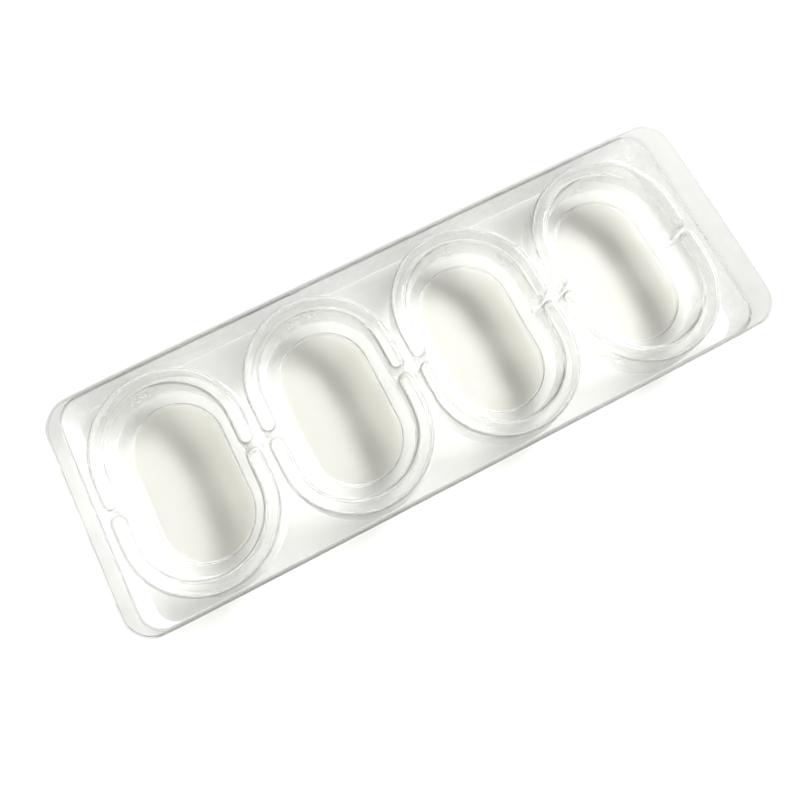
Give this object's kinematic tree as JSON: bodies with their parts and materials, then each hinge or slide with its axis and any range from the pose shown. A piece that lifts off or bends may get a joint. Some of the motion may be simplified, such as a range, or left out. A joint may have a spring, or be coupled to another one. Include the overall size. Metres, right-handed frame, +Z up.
{
  "type": "contact lens case",
  "caption": "Clear plastic tray that carries a row of lift-out oval lens cups, each with a rim ridge split by a notch on both long sides, for holding contact lenses",
  "frame": {"origin": "On the surface that the case rests on, under the middle of its overall box.", "axes": "+X runs along the row of cups, towards the end with the wider rim. +Y runs across the row. +Z is up."},
  "size_m": [0.1458, 0.0516, 0.0096],
  "materials": {
    "tray_sheet": "clear glossy sheet, thermoformed",
    "cup_sheet": "clear glossy sheet, thermoformed"
  },
  "bodies": {
    "tray": {"carrier_tray": "tray_sheet"},
    "cup_1": {"lens_cup_1": "cup_sheet"},
    "cup_2": {"lens_cup_2": "cup_sheet"},
    "cup_3": {"lens_cup_3": "cup_sheet"},
    "cup_4": {"lens_cup_4": "cup_sheet"}
  },
  "joints": [
    {"name": "cup_1_lift", "type": "slide", "parent": "tray", "child": "cup_1", "axis": [0, 0, 1], "range_m": [0, 0.03]},
    {"name": "cup_2_lift", "type": "slide", "parent": "tray", "child": "cup_2", "axis": [0, 0, 1], "range_m": [0, 0.03]},
    {"name": "cup_3_lift", "type": "slide", "parent": "tray", "child": "cup_3", "axis": [0, 0, 1], "range_m": [0, 0.03]},
    {"name": "cup_4_lift", "type": "slide", "parent": "tray", "child": "cup_4", "axis": [0, 0, 1], "range_m": [0, 0.03]}
  ]
}
